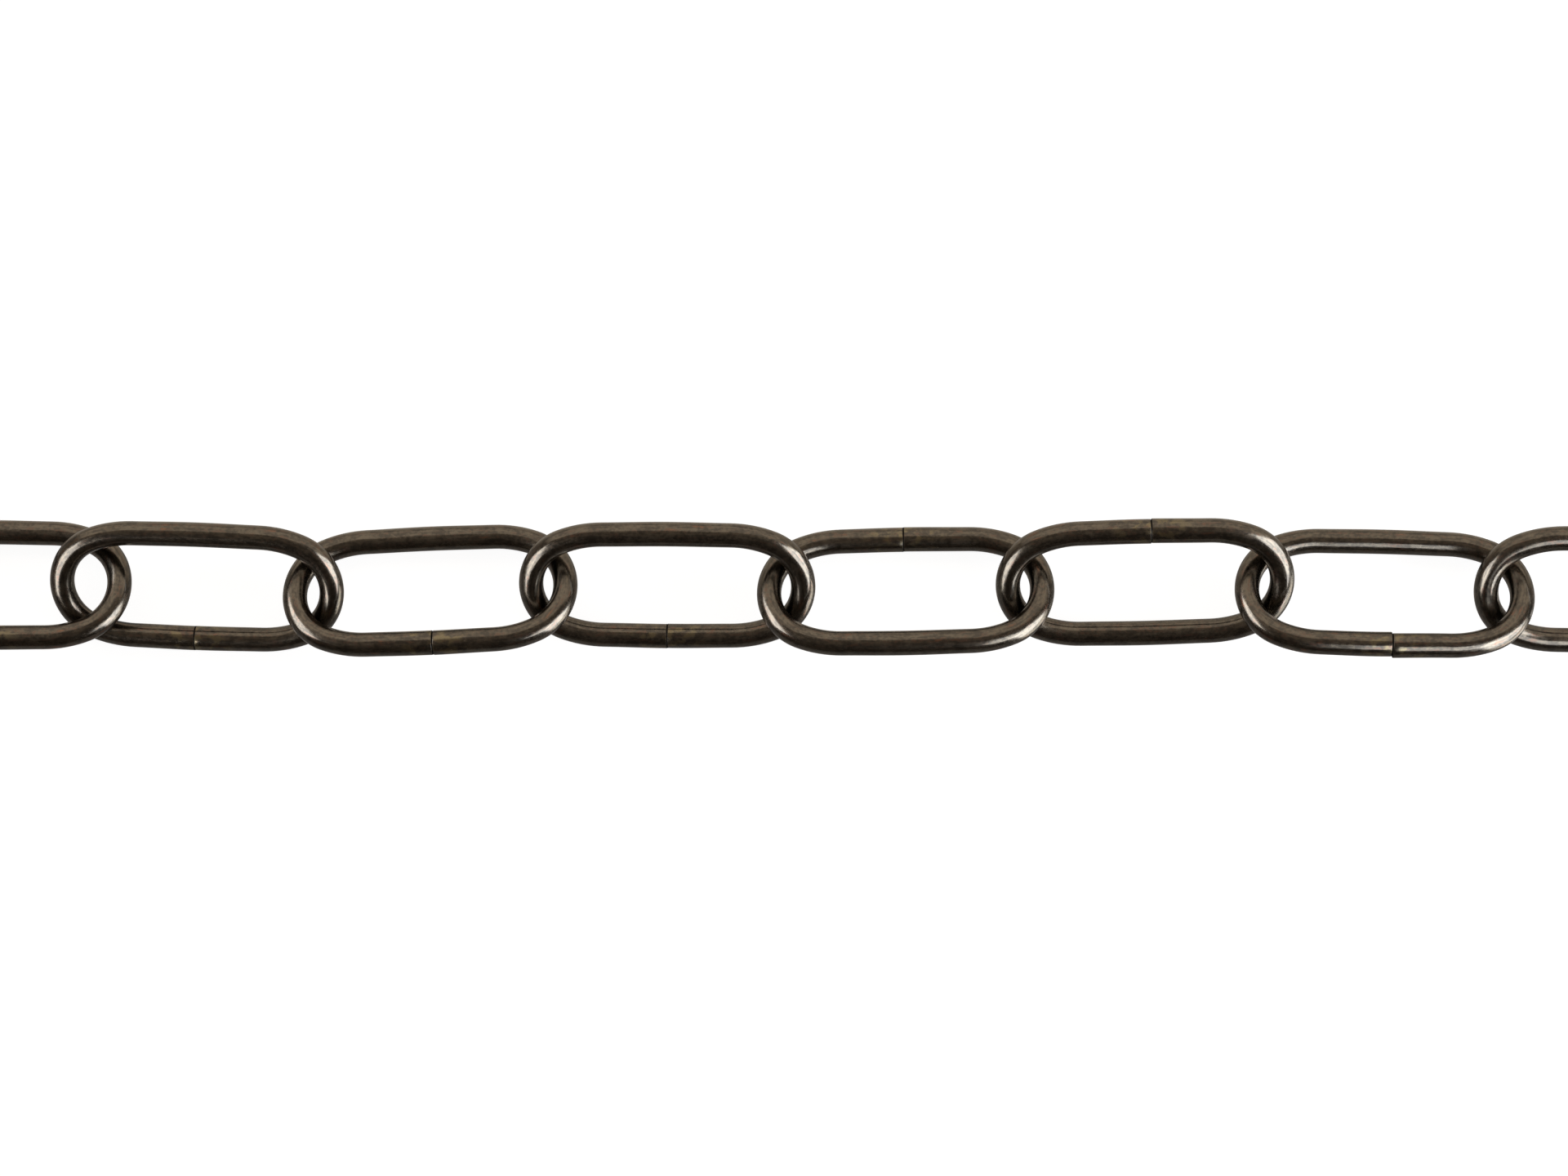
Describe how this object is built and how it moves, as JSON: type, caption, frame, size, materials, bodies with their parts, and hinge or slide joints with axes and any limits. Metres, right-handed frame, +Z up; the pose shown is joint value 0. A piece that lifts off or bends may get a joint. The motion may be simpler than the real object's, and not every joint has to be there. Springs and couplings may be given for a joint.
{
  "type": "length of open-link oval chain",
  "caption": "Straight length of bent-wire oval chain, dark bronzed iron, each link butt-jointed in one side bar and leaning on the next, lying flat.",
  "frame": {"origin": "middle of the laid chain's bounding box, on the level surface it lies on", "axes": "+X along the chain, +Y across it, +Z up"},
  "size_m": [0.4772, 0.0174, 0.0094],
  "materials": {
    "bronzed_iron": "dark antique-bronze patina on drawn iron wire, satin with crisp highlights, drawn streaks along the wire and a few coppery rubs"
  },
  "bodies": {
    "link_01": {"link_01": "bronzed_iron"},
    "link_02": {"link_02": "bronzed_iron"},
    "link_03": {"link_03": "bronzed_iron"},
    "link_04": {"link_04": "bronzed_iron"},
    "link_05": {"link_05": "bronzed_iron"},
    "link_06": {"link_06": "bronzed_iron"},
    "link_07": {"link_07": "bronzed_iron"},
    "link_08": {"link_08": "bronzed_iron"},
    "link_09": {"link_09": "bronzed_iron"},
    "link_10": {"link_10": "bronzed_iron"},
    "link_11": {"link_11": "bronzed_iron"},
    "link_12": {"link_12": "bronzed_iron"},
    "link_13": {"link_13": "bronzed_iron"},
    "link_14": {"link_14": "bronzed_iron"},
    "link_15": {"link_15": "bronzed_iron"},
    "link_16": {"link_16": "bronzed_iron"}
  },
  "joints": [
    {"name": "lift_02", "type": "hinge", "parent": "link_01", "child": "link_02", "pos_m": [-0.2044, -0.00051, 0.00359], "axis": [0, -0.8988, 0.4384], "range_deg": [0, 20]},
    {"name": "lift_03", "type": "hinge", "parent": "link_02", "child": "link_03", "pos_m": [-0.1747, 0.00039, 0.00359], "axis": [0, -0.8988, -0.4384], "range_deg": [0, 20]},
    {"name": "lift_04", "type": "hinge", "parent": "link_03", "child": "link_04", "pos_m": [-0.145, -0.00051, 0.00359], "axis": [0, -0.8988, 0.4384], "range_deg": [0, 20]},
    {"name": "lift_05", "type": "hinge", "parent": "link_04", "child": "link_05", "pos_m": [-0.1153, -0.00051, 0.00359], "axis": [0, -0.8988, -0.4384], "range_deg": [0, 20]},
    {"name": "lift_06", "type": "hinge", "parent": "link_05", "child": "link_06", "pos_m": [-0.0878, 0.00029, 0.00303], "axis": [-0.0065, -0.9336, 0.3584], "range_deg": [0, 20]},
    {"name": "lift_07", "type": "hinge", "parent": "link_06", "child": "link_07", "pos_m": [-0.06091, -0.0004, 0.00334], "axis": [-0.0319, -0.9144, -0.4035], "range_deg": [0, 20]},
    {"name": "lift_08", "type": "hinge", "parent": "link_07", "child": "link_08", "pos_m": [-0.03151, 0.00033, 0.00329], "axis": [0.0385, -0.9176, 0.3955], "range_deg": [0, 20]},
    {"name": "lift_09", "type": "hinge", "parent": "link_08", "child": "link_09", "pos_m": [-0.0017, 0.0002, 0.00365], "axis": [-0.0062, -0.8949, -0.4462], "range_deg": [0, 20]},
    {"name": "lift_10", "type": "hinge", "parent": "link_09", "child": "link_10", "pos_m": [0.0281, -0.00009, 0.00346], "axis": [0.0174, -0.9076, 0.4195], "range_deg": [0, 20]},
    {"name": "lift_11", "type": "hinge", "parent": "link_10", "child": "link_11", "pos_m": [0.0579, 0.00106, 0.0037], "axis": [0.0218, -0.8907, -0.454], "range_deg": [0, 20]},
    {"name": "lift_12", "type": "hinge", "parent": "link_11", "child": "link_12", "pos_m": [0.0876, -0.00106, 0.00359], "axis": [-0.0235, -0.8985, 0.4384], "range_deg": [0, 20]},
    {"name": "lift_13", "type": "hinge", "parent": "link_12", "child": "link_13", "pos_m": [0.1172, -0.00032, 0.00359], "axis": [-0.0047, -0.8988, -0.4384], "range_deg": [0, 20]},
    {"name": "lift_14", "type": "hinge", "parent": "link_13", "child": "link_14", "pos_m": [0.1469, -0.00051, 0.00359], "axis": [0, -0.8988, 0.4384], "range_deg": [0, 20]},
    {"name": "lift_15", "type": "hinge", "parent": "link_14", "child": "link_15", "pos_m": [0.1766, 0.00039, 0.00359], "axis": [0, -0.8988, -0.4384], "range_deg": [0, 20]},
    {"name": "lift_16", "type": "hinge", "parent": "link_15", "child": "link_16", "pos_m": [0.2063, -0.00051, 0.00359], "axis": [0, -0.8988, 0.4384], "range_deg": [0, 20]}
  ]
}
